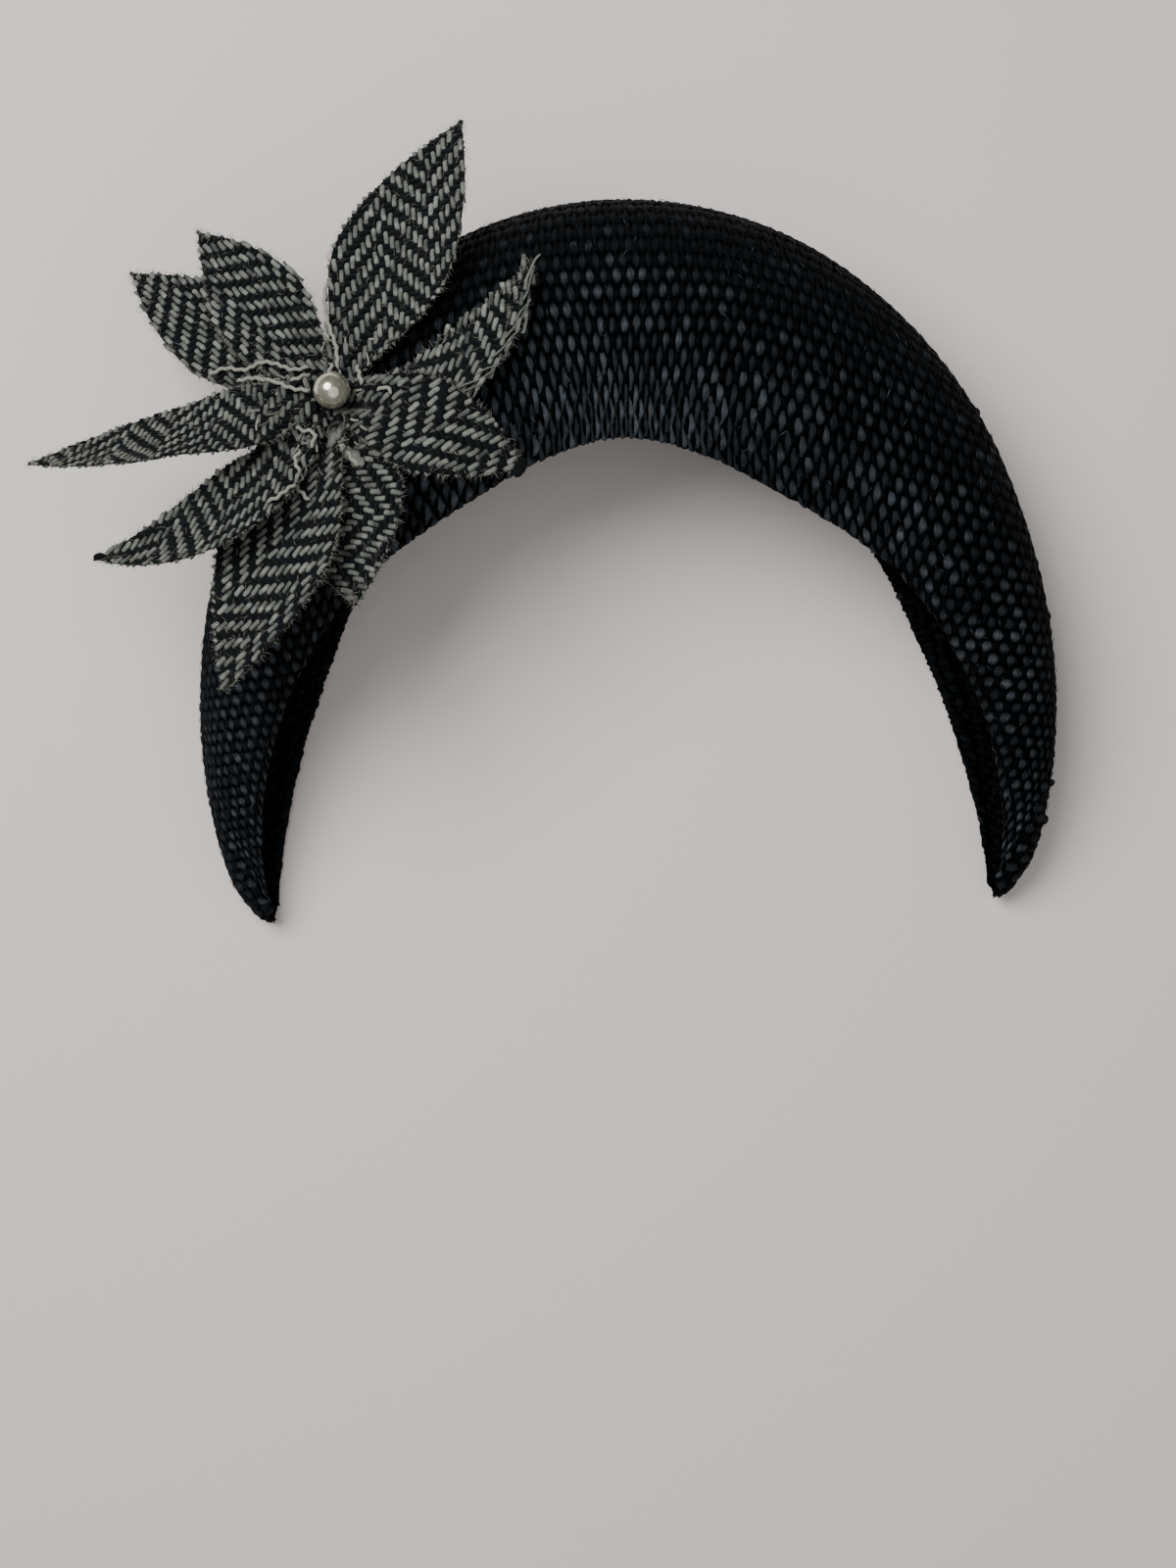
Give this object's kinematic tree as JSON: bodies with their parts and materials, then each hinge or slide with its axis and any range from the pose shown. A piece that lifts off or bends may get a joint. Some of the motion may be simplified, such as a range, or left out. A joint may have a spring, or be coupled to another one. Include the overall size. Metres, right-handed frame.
{
  "type": "halo headpiece",
  "caption": "Crescent halo headband of black woven straw, hollow towards the head, with a herringbone tweed flower and a pearl at one side.",
  "frame": {"origin": "under the middle of the whole piece, on the surface that it lies on", "axes": "+X to the wearer's left, +Y to the crown, +Z out of the band's front, which is up as it lies on its back"},
  "size_m": [0.231, 0.1774, 0.073],
  "materials": {
    "straw": "dyed straw in a close plain weave, blocked and stiffened, satin",
    "tweed": "herringbone wool, raw cut edges, matt",
    "pearl": "imitation pearl coating, lustrous"
  },
  "bodies": {
    "root": {"halo_band": "straw", "petal_top": "tweed", "petal_upper_left": "tweed", "petal_left_high": "tweed", "petal_left_long": "tweed", "petal_left_low": "tweed", "petal_bottom": "tweed", "petal_bottom_inner": "tweed", "petal_front_low": "tweed", "petal_front_high": "tweed", "pearl": "pearl"}
  },
  "joints": []
}
